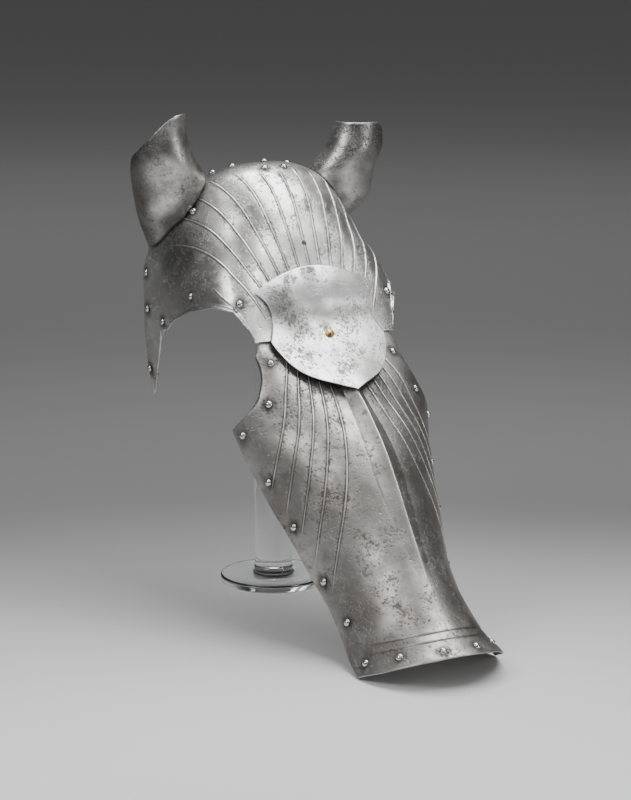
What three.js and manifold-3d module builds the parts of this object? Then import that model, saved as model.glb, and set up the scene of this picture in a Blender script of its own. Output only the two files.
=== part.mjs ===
// Horse head armour: a fluted shaffron on a clear display stand.
// Millimetres, +Z up. The origin is the middle of the stand's foot, on the table. The armour's plane of
// symmetry is x = 0, its nose points to -Y, and its nose corners stand on the table in front of the stand.
import * as THREE from 'three';
import { mergeVertices } from 'three/addons/utils/BufferGeometryUtils.js';
import Module from 'manifold-3d';

const wasm = await Module();
wasm.setup();

// ---------------------------------------------------------------- driving dimensions
const TILT = THREE.MathUtils.degToRad(49.5);      // slope of the face below level
const FACE_TOP = { y: -1.3, z: 497.6 };           // where the face frame starts, near the poll
const PLATE = 1.8;                                // thickness of the two plates
const TIN = 1.6;                                  // thickness of the ear guards and the shield
const AIR = 0.4;                                  // gap between pieces that touch
const FLUTE = { height: 2.2, foot: 2.6 };         // raised flutes: height and half width
const JOWL = 360;                                 // how far the sides would run below the widest line

// The face frame: s runs down the face from the poll, h stands out from it, x is across.
// crown is the height of the middle line, half the half width, depth the distance from the middle line
// down to the widest line, and square the shape of the curve between (2 is an ellipse, more is boxier).
const SECTIONS = [
  { s: -50, crown: -112, half: 80, depth: 70, square: 2.1 },
  { s: -30, crown: -66, half: 94, depth: 100, square: 2.1 },
  { s: -12, crown: -28, half: 104, depth: 125, square: 2.1 },
  { s: 0, crown: -13, half: 109, depth: 140, square: 2.2 },
  { s: 25, crown: 3, half: 113, depth: 152, square: 2.2 },
  { s: 60, crown: 11, half: 115, depth: 155, square: 2.3 },
  { s: 100, crown: 6, half: 117, depth: 140, square: 2.7 },
  { s: 140, crown: -2, half: 116, depth: 115, square: 4.0 },
  { s: 182, crown: -10, half: 109, depth: 87, square: 5.8 },
  { s: 226, crown: -18, half: 106, depth: 71, square: 6.8 },
  { s: 255, crown: -17, half: 105, depth: 76, square: 4.8 },
  { s: 300, crown: -6, half: 127, depth: 100, square: 2.4 },
  { s: 370, crown: 10, half: 109, depth: 123, square: 2.0 },
  { s: 430, crown: 13, half: 96, depth: 121, square: 1.85 },
  { s: 495, crown: 12, half: 82, depth: 117, square: 1.75 },
  { s: 550, crown: 14, half: 78, depth: 110, square: 1.8 },
  { s: 590, crown: 19, half: 82, depth: 103, square: 1.85 },
  { s: 620, crown: 28.5, half: 85, depth: 95, square: 1.9 },
  { s: 660, crown: 42, half: 88, depth: 95, square: 1.9 },
];

// The medial keel of the lower plate: its rise over the middle line and its half width.
const KEEL = [
  { s: 262, rise: 0, half: 8 },
  { s: 310, rise: 10, half: 11 },
  { s: 370, rise: 9, half: 15 },
  { s: 430, rise: 7, half: 16 },
  { s: 490, rise: 4, half: 11 },
  { s: 545, rise: 0, half: 6 },
];

// Guide lines of the upper plate on one side, from the middle outwards. Each starts at the plate's lower
// edge (the seam, then round the eye arch) and ends at its rear edge (the poll, then down to the spur).
// turn is the angle about the head's long line, from 0 at the middle; bend is how late the line fans out.
const SEAM = 224;
const UPPER_GUIDES = [
  { s0: SEAM, turn0: 0, s1: -12, turn1: 0, bend: 1 },
  { s0: SEAM, turn0: 6.7, s1: -12, turn1: 10, bend: 5 },
  { s0: SEAM, turn0: 13.5, s1: -14, turn1: 22, bend: 5 },
  { s0: SEAM, turn0: 20.3, s1: -20, turn1: 38, bend: 5 },
  { s0: SEAM, turn0: 27.2, s1: -26, turn1: 60, bend: 5 },
  { s0: SEAM, turn0: 33.8, s1: -8, turn1: 77, bend: 5 },
  { s0: SEAM, turn0: 40.5, s1: 26, turn1: 88, bend: 5 },
  { s0: SEAM, turn0: 51.3, s1: 31, turn1: 97, bend: 3.5 },
  { s0: 202, turn0: 51.2, s1: 42, turn1: 104, bend: 3 },
  { s0: 182, turn0: 51.6, s1: 57, turn1: 110, bend: 2.4 },
  { s0: 160, turn0: 58, s1: 74, turn1: 117, bend: 1.8 },
  { s0: 140, turn0: 70.5, s1: 92, turn1: 124, bend: 1.4 },
  { s0: 126, turn0: 90, s1: 110, turn1: 131, bend: 1.2 },
  { s0: 121, turn0: 113, s1: 126, turn1: 137, bend: 1 },
  { s0: 145, turn0: 139, s1: 150, turn1: 145, bend: 1 },
];
const UPPER_FLUTES = { first: 0, last: 6 };       // flutes on guides 0 to 6, on both sides: 13 in all
const UPPER_EXTRA = [0.5, 1.5, 2.5, 3.5, 4.5, 5.5, 6.5];

// Guide lines of the lower plate on one side: from its hidden top edge to the lip, the nose corner and the
// lower edge. The outermost follows the eye arch to the cusp, through the points of EYE_FRONT.
const LAP = 212;
const LOWER_GUIDES = [
  { s0: LAP, turn0: 0, s1: 638, turn1: 0, bend: 1 },
  { s0: LAP, turn0: 2.2, s1: 637.5, turn1: 9, bend: 3.6 },
  { s0: LAP, turn0: 4.4, s1: 636, turn1: 20, bend: 3.6 },
  { s0: LAP, turn0: 6.6, s1: 632, turn1: 35, bend: 3.6 },
  { s0: LAP, turn0: 8, s1: 625, turn1: 54, bend: 3.6 },
  { s0: LAP, turn0: 9.5, s1: 614, turn1: 74, bend: 3.6 },
  { s0: LAP, turn0: 12, s1: 526, turn1: 70, bend: 3.8 },
  { s0: LAP, turn0: 18.5, s1: 488, turn1: 71.5, bend: 3.6 },
  { s0: LAP, turn0: 24.7, s1: 456, turn1: 72, bend: 3.6 },
  { s0: LAP, turn0: 31.2, s1: 424, turn1: 72.5, bend: 3.6 },
  { s0: LAP, turn0: 37.6, s1: 392, turn1: 73, bend: 3.6 },
];
const LOWER_FLUTES = { first: 6, last: 10 };      // flutes on guides 6 to 10, on both sides
const LOWER_EXTRA = [5.25, 5.5, 5.75, 10.5];
const EYE_FRONT = [
  { at: 0, s: LAP, turn: 48 },
  { at: 0.2, s: 236, turn: 51.4 },
  { at: 0.4, s: 258, turn: 50.8 },
  { at: 0.6, s: 280, turn: 51.3 },
  { at: 0.8, s: 297, turn: 56 },
  { at: 1, s: 306, turn: 72.5 },
];

// ---------------------------------------------------------------- tables and curves
// A smooth value from a table of rows with named columns, by cubic pieces through the rows.
function lookUp(table, by, name, where) {
  const last = table.length - 1;
  let i = 0;
  while (i < last - 1 && where > table[i + 1][by]) i += 1;
  const slope = (k) => {
    const a = table[Math.max(k - 1, 0)];
    const b = table[Math.min(k + 1, last)];
    return (b[name] - a[name]) / (b[by] - a[by]);
  };
  const low = table[i];
  const high = table[i + 1];
  const span = high[by] - low[by];
  const u = Math.min(1, Math.max(0, (where - low[by]) / span));
  const u2 = u * u;
  const u3 = u2 * u;
  return (2 * u3 - 3 * u2 + 1) * low[name] + (u3 - 2 * u2 + u) * span * slope(i)
    + (3 * u2 - 2 * u3) * high[name] + (u3 - u2) * span * slope(i + 1);
}

const degrees = (angle) => THREE.MathUtils.degToRad(angle);
const mix = THREE.MathUtils.lerp;
const ease = THREE.MathUtils.smoothstep;

// ---------------------------------------------------------------- the face
// A point of the face frame, in the stand's frame.
function place(x, s, h) {
  const y = FACE_TOP.y - s * Math.cos(TILT) - h * Math.sin(TILT);
  const z = FACE_TOP.z - s * Math.sin(TILT) + h * Math.cos(TILT);
  return new THREE.Vector3(x, y, z);
}

// Distance of the base surface from the head's long line, at angle turn.
function reach(s, turn) {
  const q = degrees(Math.abs(turn));
  const below = q > Math.PI / 2;
  const half = lookUp(SECTIONS, 's', 'half', s);
  const depth = below ? JOWL : lookUp(SECTIONS, 's', 'depth', s);
  const power = below ? 2 : lookUp(SECTIONS, 's', 'square', s);
  const sum = (Math.sin(q) / half) ** power + (Math.abs(Math.cos(q)) / depth) ** power;
  return sum ** (-1 / power);
}

function longLine(s) {
  return lookUp(SECTIONS, 's', 'crown', s) - lookUp(SECTIONS, 's', 'depth', s);
}

function basePoint(s, turn, lift = 0) {
  const r = reach(s, turn) + lift;
  return place(r * Math.sin(degrees(turn)), s, longLine(s) + r * Math.cos(degrees(turn)));
}

function keelHeight(s, x) {
  if (s <= KEEL[0].s || s >= KEEL[KEEL.length - 1].s) return 0;
  const rise = lookUp(KEEL, 's', 'rise', s);
  return rise * Math.max(0, 1 - Math.abs(x) / lookUp(KEEL, 's', 'half', s));
}

// How far the lower plate lies inside the base surface, so that its top edge passes under the upper plate.
function recess(s) {
  const under = PLATE + 2.2;
  return under * (1 - ease(s, SEAM + 4, SEAM + 34));
}

function outward(s, turn) {
  const along = basePoint(s - 0.5, turn).sub(basePoint(s + 0.5, turn));
  const across = basePoint(s, turn + 0.5).sub(basePoint(s, turn - 0.5));
  return across.cross(along).normalize();
}

// ---------------------------------------------------------------- closed plates from grids
// grid[i][j] are the outer points. The inner ones lie thick below them, and rims close the edges.
function plate(grid, thick, flip = false) {
  const rows = grid.length;
  const cols = grid[0].length;
  const positions = [];
  const normals = [];
  for (let i = 0; i < rows; i += 1) {
    for (let j = 0; j < cols; j += 1) {
      const across = grid[i][Math.min(j + 1, cols - 1)].clone().sub(grid[i][Math.max(j - 1, 0)]);
      const along = grid[Math.min(i + 1, rows - 1)][j].clone().sub(grid[Math.max(i - 1, 0)][j]);
      const normal = across.cross(along).normalize().multiplyScalar(flip ? -1 : 1);
      positions.push(...grid[i][j].toArray());
      normals.push(normal);
    }
  }
  for (let k = 0; k < rows * cols; k += 1) {
    const p = new THREE.Vector3(...positions.slice(3 * k, 3 * k + 3));
    positions.push(...p.addScaledVector(normals[k], -thick).toArray());
  }
  const faces = [];
  const triangle = (a, b, c) => faces.push(...(flip ? [a, c, b] : [a, b, c]));
  const quad = (a, b, c, d) => {
    triangle(a, b, c);
    triangle(a, c, d);
  };
  const inner = rows * cols;
  for (let i = 0; i + 1 < rows; i += 1) {
    for (let j = 0; j + 1 < cols; j += 1) {
      const a = i * cols + j;
      quad(a, a + 1, a + cols + 1, a + cols);
      quad(inner + a, inner + a + cols, inner + a + cols + 1, inner + a + 1);
    }
  }
  const edge = [];
  for (let j = 0; j < cols; j += 1) edge.push(j);
  for (let i = 1; i < rows; i += 1) edge.push(i * cols + cols - 1);
  for (let j = cols - 2; j >= 0; j -= 1) edge.push((rows - 1) * cols + j);
  for (let i = rows - 2; i > 0; i -= 1) edge.push(i * cols);
  edge.forEach((a, k) => {
    const b = edge[(k + 1) % edge.length];
    quad(a, inner + a, inner + b, b);
  });
  return closedGeometry(positions, faces);
}

function closedGeometry(positions, faces) {
  const geometry = new THREE.BufferGeometry();
  geometry.setAttribute('position', new THREE.Float32BufferAttribute(positions, 3));
  geometry.setIndex(faces);
  return geometry;
}

function toManifold(geometry) {
  const bare = geometry.clone();
  bare.deleteAttribute('normal');
  bare.deleteAttribute('uv');
  const merged = mergeVertices(bare, 1e-4);
  return new wasm.Manifold(new wasm.Mesh({
    numProp: 3,
    vertProperties: new Float32Array(merged.attributes.position.array),
    triVerts: new Uint32Array(merged.index.array),
  }));
}

function cut(geometry, cutters) {
  let solid = toManifold(geometry);
  cutters.forEach((cutter) => { solid = solid.subtract(toManifold(cutter)); });
  const mesh = solid.getMesh();
  return closedGeometry(Array.from(mesh.vertProperties), Array.from(mesh.triVerts));
}

// A straight round cutter or pin with its middle at a point, along a direction.
function roundBar(radius, length, middle, direction, sides = 12) {
  const bar = new THREE.CylinderGeometry(radius, radius, length, sides);
  const turn = new THREE.Quaternion().setFromUnitVectors(new THREE.Vector3(0, 1, 0), direction);
  bar.applyQuaternion(turn);
  bar.translate(middle.x, middle.y, middle.z);
  return bar;
}

// ---------------------------------------------------------------- fluted plates
// The place of a guide line at t, from 0 at its start to 1 at its end.
function alongGuide(guide, t) {
  return { s: mix(guide.s0, guide.s1, t), turn: mix(guide.turn0, guide.turn1, t ** guide.bend) };
}

function alongEyeFront(t) {
  return { s: lookUp(EYE_FRONT, 'at', 's', t), turn: lookUp(EYE_FRONT, 'at', 'turn', t) };
}

// A line between two guides: number 2.5 is midway between guides 2 and 3.
function between(lines, number, t) {
  const i = Math.min(Math.floor(number), lines.length - 2);
  const a = lines[i](t);
  const b = lines[i + 1](t);
  return { s: mix(a.s, b.s, number - i), turn: mix(a.turn, b.turn, number - i) };
}

// Columns of one side: a flute takes three, its two feet and its crest; extra lines lie between guides.
function sideColumns(last, flutes, extra) {
  const columns = extra.map((line) => ({ line, foot: 0 }));
  for (let k = 0; k <= last; k += 1) {
    const fluted = k >= flutes.first && k <= flutes.last;
    if (fluted && k > 0) columns.push({ line: k, foot: -1 });
    columns.push({ line: k, foot: 0, crest: fluted });
    if (fluted) columns.push({ line: k, foot: 1 });
  }
  return columns.sort((a, b) => a.line + 0.1 * a.foot - b.line - 0.1 * b.foot);
}

// The place of a column at t. A flute's foot lies beside its crest, towards the next guide, by the
// half width of the flute measured square to the line.
function columnSpot(lines, column, t) {
  const spot = between(lines, column.line, t);
  if (column.foot === 0) return spot;
  const here = basePoint(spot.s, spot.turn);
  const ahead = between(lines, column.line, Math.min(t + 0.02, 1));
  const behind = between(lines, column.line, Math.max(t - 0.02, 0));
  const along = basePoint(ahead.s, ahead.turn).sub(basePoint(behind.s, behind.turn)).normalize();
  const next = between(lines, column.line + 0.3 * column.foot, t);
  const aside = basePoint(next.s, next.turn).sub(here).cross(along).length();
  return between(lines, column.line + (0.3 * column.foot * FLUTE.foot) / aside, t);
}

// Both sides, from the left edge to the right edge; side is -1 or 1 on each column.
function bothSides(columns) {
  const right = columns.map((column) => ({ ...column, side: 1 }));
  const left = columns.slice(1).reverse().map((column) => ({ ...column, side: -1 }));
  return [...left, ...right];
}

const UPPER_ROWS = [0, 0.09, 0.16, 0.23, 0.33, 0.43, 0.53, 0.63, 0.73, 0.83, 0.93, 1];

// Width of the flange that the eye arch turns out, by guide line of the upper plate.
const EYE_FLANGE = [
  { line: 6.5, width: 2 },
  { line: 7.4, width: 3.5 },
  { line: 8, width: 6.5 },
  { line: 9, width: 10 },
  { line: 10, width: 10 },
  { line: 11, width: 8 },
  { line: 12, width: 6 },
  { line: 14, width: 5 },
];
const REAR_FLARE = 1.5;                            // how far the rear edge is turned out
const FLANGE_LEAN = { onward: 0.75, out: 0.66 };  // direction of that flange

function upperPoint(lines, column, t) {
  const spot = columnSpot(lines, column, t);
  const fade = ease(t, 0.1, 0.22) * (1 - ease(t, 0.78, 0.93));
  const flare = REAR_FLARE * ease(t, 0.9, 1) * ease(spot.turn, 80, 95);
  const lift = (column.crest ? FLUTE.height * fade : 0) + flare;
  return basePoint(spot.s, column.side * spot.turn, lift);
}

// The eye arch ends in a flange that leans out over the opening; along the seam the plate just runs on.
function upperEdge(lines, column) {
  const spot = between(lines, column.line, 0);
  const here = upperPoint(lines, column, 0);
  const inside = upperPoint(lines, column, 0.04);
  const onward = here.clone().sub(inside).normalize();
  const arch = ease(column.line, 6.9, 8);
  const out = outward(spot.s, column.side * spot.turn);
  const lean = onward.multiplyScalar(mix(1, FLANGE_LEAN.onward, arch));
  lean.addScaledVector(out, FLANGE_LEAN.out * arch);
  return here.addScaledVector(lean, lookUp(EYE_FLANGE, 'line', 'width', column.line));
}

function upperGrid() {
  const lines = UPPER_GUIDES.map((guide) => (t) => alongGuide(guide, t));
  const columns = bothSides(sideColumns(UPPER_GUIDES.length - 1, UPPER_FLUTES, UPPER_EXTRA));
  const rows = UPPER_ROWS.map((t) => columns.map((column) => upperPoint(lines, column, t)));
  return [columns.map((column) => upperEdge(lines, column)), ...rows];
}

const LOWER_ROWS = [
  0, 0.035, 0.08, 0.14, 0.21, 0.29, 0.37, 0.45, 0.53, 0.61, 0.69, 0.76, 0.82, 0.88, 0.92, 0.96, 1,
];
// Flange of the lower plate below the eye: width at the seam, in the middle and at the cusp, and its lean.
const LOWER_FLANGE = { seam: 0.8, middle: 7, cusp: 2.5, inward: 0.5 };
const LIP_FLARE = 2.5;                            // how far the lip is turned out at its rim

function lowerPoint(lines, column, t) {
  const spot = columnSpot(lines, column, t);
  const fade = ease(t, 0.15, 0.3) * (1 - ease(t, 0.86, 0.96));
  const lip = LIP_FLARE * ease(t, 0.955, 1) * (1 - ease(column.line, 5, 5.6));
  const x = reach(spot.s, spot.turn) * Math.sin(degrees(spot.turn));
  const flute = column.crest ? FLUTE.height * fade : 0;
  const lift = flute + keelHeight(spot.s, x) + lip - recess(spot.s);
  return basePoint(spot.s, column.side * spot.turn, lift);
}

function lowerGrid() {
  const lines = LOWER_GUIDES.map((guide) => (t) => alongGuide(guide, t));
  lines.push(alongEyeFront);
  const last = lines.length - 1;
  const columns = bothSides(sideColumns(last, LOWER_FLUTES, LOWER_EXTRA));
  return LOWER_ROWS.map((t) => {
    const row = columns.map((column) => lowerPoint(lines, column, t));
    const spot = alongEyeFront(t);
    [-1, 1].forEach((hand) => {
      const edge = hand < 0 ? row[0] : row[row.length - 1];
      const inside = hand < 0 ? row[1] : row[row.length - 2];
      const onward = edge.clone().sub(inside).normalize();
      const full = ease(t, 0.1, 0.3) * (1 - ease(t, 0.7, 1));
      const width = mix(t < 0.5 ? LOWER_FLANGE.seam : LOWER_FLANGE.cusp, LOWER_FLANGE.middle, full);
      const lean = onward.addScaledVector(outward(spot.s, hand * spot.turn), -LOWER_FLANGE.inward * full);
      const flange = edge.clone().addScaledVector(lean, width);
      if (hand < 0) row.unshift(flange);
      else row.push(flange);
    });
    return row;
  });
}

// ---------------------------------------------------------------- ear guards
// Level ovals of the right-hand ear guard (x > 0): height z, middle x and y, and half axes.
const EAR_OVALS = [
  { z: 380, x: 78, y: 93, long: 29, short: 31 },
  { z: 410, x: 97, y: 79.5, long: 27, short: 35 },
  { z: 440, x: 106.5, y: 52.5, long: 36, short: 40.5 },
  { z: 474, x: 111, y: 40.5, long: 42, short: 36 },
  { z: 500, x: 121.5, y: 30.5, long: 36, short: 31.5 },
  { z: 530, x: 125.5, y: 25.5, long: 29, short: 26 },
  { z: 560, x: 129, y: 19, long: 28, short: 25 },
];
const EAR_SPREAD = degrees(27);                   // the long axis runs this far back from straight out
const EAR_SIDES = 18;
const EAR_CLEAR = 2;                              // height of the foot over the plate's smooth surface
const EAR_RIM = { middle: 524, slope: 26, bulge: 12, topRight: 552, topLeft: 530, round: 3 };

function earPoint(hand, angle, z, inset) {
  const across = (lookUp(EAR_OVALS, 'z', 'long', z) - inset) * Math.cos(angle);
  const deep = (lookUp(EAR_OVALS, 'z', 'short', z) - inset) * Math.sin(angle);
  const x = lookUp(EAR_OVALS, 'z', 'x', z) + across * Math.cos(EAR_SPREAD) + deep * Math.sin(EAR_SPREAD);
  const y = lookUp(EAR_OVALS, 'z', 'y', z) + across * Math.sin(EAR_SPREAD) - deep * Math.cos(EAR_SPREAD);
  return new THREE.Vector3(hand * x, y, z);
}

// Height of a point over the base surface, measured from the head's long line.
function heightOver(point) {
  const y = point.y - FACE_TOP.y;
  const z = point.z - FACE_TOP.z;
  const s = -y * Math.cos(TILT) - z * Math.sin(TILT);
  const h = -y * Math.sin(TILT) + z * Math.cos(TILT) - longLine(s);
  const turn = THREE.MathUtils.radToDeg(Math.atan2(Math.abs(point.x), h));
  return Math.hypot(point.x, h) - reach(s, turn);
}

// Where a line of the ear guard meets the plate below it.
function earFoot(hand, angle, inset) {
  let low = EAR_OVALS[0].z;
  let high = EAR_RIM.middle;
  for (let k = 0; k < 30; k += 1) {
    const z = (low + high) / 2;
    if (heightOver(earPoint(hand, angle, z, inset)) > EAR_CLEAR) high = z;
    else low = z;
  }
  return high;
}

// The mouths are cut aslant, highest at the inner front, and the left one is worn lower there.
function earRim(hand, angle) {
  const slant = EAR_RIM.middle - EAR_RIM.slope * Math.cos(angle) + EAR_RIM.bulge * Math.sin(angle);
  const top = hand < 0 ? EAR_RIM.topRight : EAR_RIM.topLeft;
  return top - Math.log(1 + Math.exp((top - slant) / EAR_RIM.round)) * EAR_RIM.round;
}

function earTube(hand, inset) {
  const rings = [];
  for (let k = 0; k <= 5; k += 1) {
    const ring = [];
    for (let j = 0; j < EAR_SIDES; j += 1) {
      const angle = (2 * Math.PI * j) / EAR_SIDES;
      const z = mix(earFoot(hand, angle, inset), earRim(hand, angle), k / 5);
      ring.push(earPoint(hand, angle, z, inset));
    }
    rings.push(ring);
  }
  return rings;
}

function tubeGeometry(outer, inner, flip) {
  const rings = [...outer, ...inner.slice().reverse()];
  const sides = rings[0].length;
  const positions = rings.flat().flatMap((p) => p.toArray());
  const faces = [];
  rings.forEach((ring, i) => {
    const next = (i + 1) % rings.length;
    ring.forEach((p, j) => {
      const a = i * sides + j;
      const b = i * sides + ((j + 1) % sides);
      const c = next * sides + ((j + 1) % sides);
      const d = next * sides + j;
      faces.push(...(flip ? [a, c, b, a, d, c] : [a, b, c, a, c, d]));
    });
  });
  return closedGeometry(positions, faces);
}

function earGuard(hand) {
  return tubeGeometry(earTube(hand, 0), earTube(hand, TIN), hand > 0);
}

// The hole in the upper plate under an ear guard: a slanting oval bar.
function earHole(hand) {
  const inset = TIN + 4;
  const positions = [];
  const faces = [];
  const levels = [372, 400, 430, 460, 500];
  levels.forEach((z) => {
    for (let j = 0; j < EAR_SIDES; j += 1) {
      positions.push(...earPoint(hand, (2 * Math.PI * j) / EAR_SIDES, z, inset).toArray());
    }
  });
  const triangle = (a, b, c) => faces.push(...(hand > 0 ? [a, c, b] : [a, b, c]));
  for (let i = 0; i + 1 < levels.length; i += 1) {
    for (let j = 0; j < EAR_SIDES; j += 1) {
      const a = i * EAR_SIDES + j;
      const b = i * EAR_SIDES + ((j + 1) % EAR_SIDES);
      triangle(a, b, b + EAR_SIDES);
      triangle(a, b + EAR_SIDES, a + EAR_SIDES);
    }
  }
  const top = (levels.length - 1) * EAR_SIDES;
  for (let j = 1; j + 1 < EAR_SIDES; j += 1) {
    triangle(0, j + 1, j);
    triangle(top, top + j, top + j + 1);
  }
  return closedGeometry(positions, faces);
}

// ---------------------------------------------------------------- the shield
// Its middle line: height h over the face frame, and sag, the drop at 70 mm from the middle.
const SHIELD_PROFILE = [
  { s: 146, h: 3, sag: 8 },
  { s: 165, h: 2.5, sag: 8 },
  { s: 185, h: -2, sag: 6.5 },
  { s: 205, h: -9, sag: 4.5 },
  { s: 228, h: -10.5, sag: 4 },
  { s: 255, h: -6, sag: 6 },
  { s: 282, h: 1, sag: 9 },
  { s: 309, h: 10, sag: 12 },
];
const SHIELD = { top: 147, horn: 171, corner: 229, tip: 309, hornWidth: 75, cornerWidth: 70, notch: 12 };

// across runs from -1 to 1 and down from 0 at the top edge to 1 at the pointed lower edge.
function shieldPoint(across, down) {
  const out = Math.abs(across);
  const topEdge = mix(SHIELD.top, SHIELD.horn, out ** 1.8);
  const lobe = 0.5 * out + 0.5 * out ** 6;
  const lowEdge = mix(SHIELD.tip, SHIELD.corner, lobe);
  const s = mix(topEdge, lowEdge, down);
  const waist = SHIELD.notch * Math.sin(Math.PI * down ** 0.85);
  const x = across * (mix(SHIELD.hornWidth, SHIELD.cornerWidth, down) - waist);
  const sag = lookUp(SHIELD_PROFILE, 's', 'sag', s) * (x / 70) ** 2;
  return place(x, s, lookUp(SHIELD_PROFILE, 's', 'h', s) - sag);
}

function shieldGrid() {
  const grid = [];
  for (let i = 0; i <= 10; i += 1) {
    const row = [];
    for (let j = -6; j <= 6; j += 1) row.push(shieldPoint(j / 6, i / 10));
    grid.push(row);
  }
  return grid;
}

// ---------------------------------------------------------------- screw and rivets
const SCREW = { s: 228, head: 5, shank: 2, nut: 5, nutDepth: 3, grip: 15 };
const RIVET = { radius: 4.2, height: 3 };

function turned(points, sides) {
  return new THREE.LatheGeometry(points.map(([r, z]) => new THREE.Vector2(r, z)), sides)
    .rotateX(Math.PI / 2);
}

function rivetHead() {
  const { radius, height } = RIVET;
  return turned([[0, 0], [radius, 0], [radius * 0.82, height * 0.6], [0, height]], 6);
}

// Rivets on each side: distance down the face, angle from the middle, and lift where an edge is turned out.
const RIVETS = [
  { name: 'poll_mid', s: -8, turn: 0 },
  { name: 'poll_1', s: 12, turn: 4.6 },
  { name: 'poll_2', s: -12, turn: 16.3 },
  { name: 'poll_3', s: -14.5, turn: 27 },
  { name: 'ear', s: 35, turn: 43.3 },
  { name: 'rear_1', s: 43, turn: 98, lift: 1.5 },
  { name: 'rear_2', s: 77, turn: 112, lift: 1.2 },
  { name: 'rear_3', s: 128, turn: 136, lift: 1.5 },
  { name: 'arch_1', s: 112, turn: 104 },
  { name: 'arch_2', s: 130, turn: 67.7 },
  { name: 'arch_3', s: 178, turn: 48 },
  { name: 'waist', s: 252, turn: 46.5 },
  { name: 'cheek', s: 298, turn: 49 },
  { name: 'cusp', s: 315, turn: 67.6 },
  { name: 'edge_1', s: 372, turn: 64.6, lift: 0.5 },
  { name: 'edge_2', s: 428, turn: 64.1, lift: 0.5 },
  { name: 'edge_3', s: 495, turn: 62, lift: 0.8 },
  { name: 'edge_4', s: 549, turn: 58.5, lift: 0.8 },
  { name: 'lip_1', s: 603, turn: 61 },
  { name: 'lip_2', s: 616, turn: 38 },
  { name: 'lip_3', s: 627, turn: 12, lift: 1 },
];

function screwGeometry() {
  const { head, shank, nut, nutDepth, grip } = SCREW;
  return turned([[0, -grip - nutDepth], [nut, -grip - nutDepth], [nut, -grip], [shank, -grip],
    [shank, 1.2], [head, 1.2], [head * 0.94, 2.2], [head * 0.6, 3.5], [0, 4]], 12);
}

// ---------------------------------------------------------------- stand
const FOOT = { radius: 62, height: 9, round: 2.5 };
const PAD = { radius: 24, height: 2.5, bottom: FOOT.height + AIR };
const POST = { radius: 21.5, bottom: PAD.bottom + PAD.height + AIR, top: 478, crown: 10 };

function footGeometry() {
  const { radius, height, round } = FOOT;
  return turned([[0, 0], [radius - round, 0], [radius, round], [radius, height - round],
    [radius - round, height], [0, height]], 36);
}

function padGeometry() {
  const { radius, height } = PAD;
  return turned([[0, 0], [radius, 0], [radius, height], [0, height]], 24);
}

function postGeometry() {
  const { radius, bottom, top, crown } = POST;
  const height = top - bottom;
  return turned([[0, 0], [radius, 0], [radius, height - crown], [radius * 0.72, height - crown * 0.4],
    [radius * 0.38, height - crown * 0.1], [0, height]], 24);
}

// ---------------------------------------------------------------- materials
function metal(colour, roughness, metalness = 1) {
  return new THREE.MeshStandardMaterial({ color: colour, roughness, metalness });
}

const STEEL = metal('#a19c94', 0.38);
const WARM_STEEL = metal('#8a8178', 0.45);
const DARK_STEEL = metal('#6f6a64', 0.42);
const SHIELD_STEEL = metal('#b9b6b0', 0.35);
const RIVET_STEEL = metal('#b0aca5', 0.25);
const BRASS = metal('#c79b45', 0.3);
const CLEAR = new THREE.MeshStandardMaterial({
  color: '#e8ecec', roughness: 0.04, metalness: 0, transparent: true, opacity: 0.35,
});
const BLACK = metal('#2b2b2a', 0.6, 0);

// ---------------------------------------------------------------- assembly
const armour = new THREE.Group();
const stand = new THREE.Group();
const model = new THREE.Group();
model.add(armour, stand);

function add(group, name, geometry, material) {
  const mesh = new THREE.Mesh(geometry, material);
  mesh.name = name;
  group.add(mesh);
  return mesh;
}

const LACE_HOLE = { s: 118, radius: 3 };
const laceCutter = roundBar(LACE_HOLE.radius, 20, basePoint(LACE_HOLE.s, 0), outward(LACE_HOLE.s, 0));
const screwAxis = outward(SCREW.s, 0);
const screwPoint = place(0, SCREW.s, lookUp(SHIELD_PROFILE, 's', 'h', SCREW.s));
const screwCutter = roundBar(SCREW.shank + AIR, 60, screwPoint, screwAxis);
const upperCutters = [earHole(-1), earHole(1), laceCutter, screwCutter];
add(armour, 'upper_plate', cut(plate(upperGrid(), PLATE), upperCutters), STEEL);
add(armour, 'lower_plate', cut(plate(lowerGrid(), PLATE, true), [screwCutter]), WARM_STEEL);
add(armour, 'ear_guard_right', earGuard(-1), DARK_STEEL);
add(armour, 'ear_guard_left', earGuard(1), DARK_STEEL);
add(armour, 'escutcheon', cut(plate(shieldGrid(), TIN, true), [screwCutter]), SHIELD_STEEL);

// A small part of the armour standing on a surface point, its own +Z along the outward direction.
function stud(name, geometry, material, point, direction) {
  const mesh = add(armour, name, geometry, material);
  mesh.position.copy(point);
  mesh.quaternion.setFromUnitVectors(new THREE.Vector3(0, 0, 1), direction);
  return mesh;
}

stud('escutcheon_screw', screwGeometry(), BRASS, screwPoint, screwAxis);

RIVETS.forEach((rivet) => {
  const sides = rivet.turn === 0 ? [1] : [-1, 1];
  sides.forEach((hand) => {
    const side = hand < 0 ? 'right' : 'left';
    const turn = hand * rivet.turn;
    const deep = rivet.s > SEAM ? recess(rivet.s) : 0;
    const lift = AIR + (rivet.lift ?? 0) - deep;
    const name = rivet.turn === 0 ? `rivet_${rivet.name}` : `rivet_${rivet.name}_${side}`;
    stud(name, rivetHead(), RIVET_STEEL, basePoint(rivet.s, turn, lift), outward(rivet.s, turn));
  });
});

add(stand, 'stand_foot', footGeometry(), CLEAR);
const pad = add(stand, 'post_pad', padGeometry(), BLACK);
pad.position.z = PAD.bottom;
const post = add(stand, 'stand_post', postGeometry(), CLEAR);
post.position.z = POST.bottom;

export default model;
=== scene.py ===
import math

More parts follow.
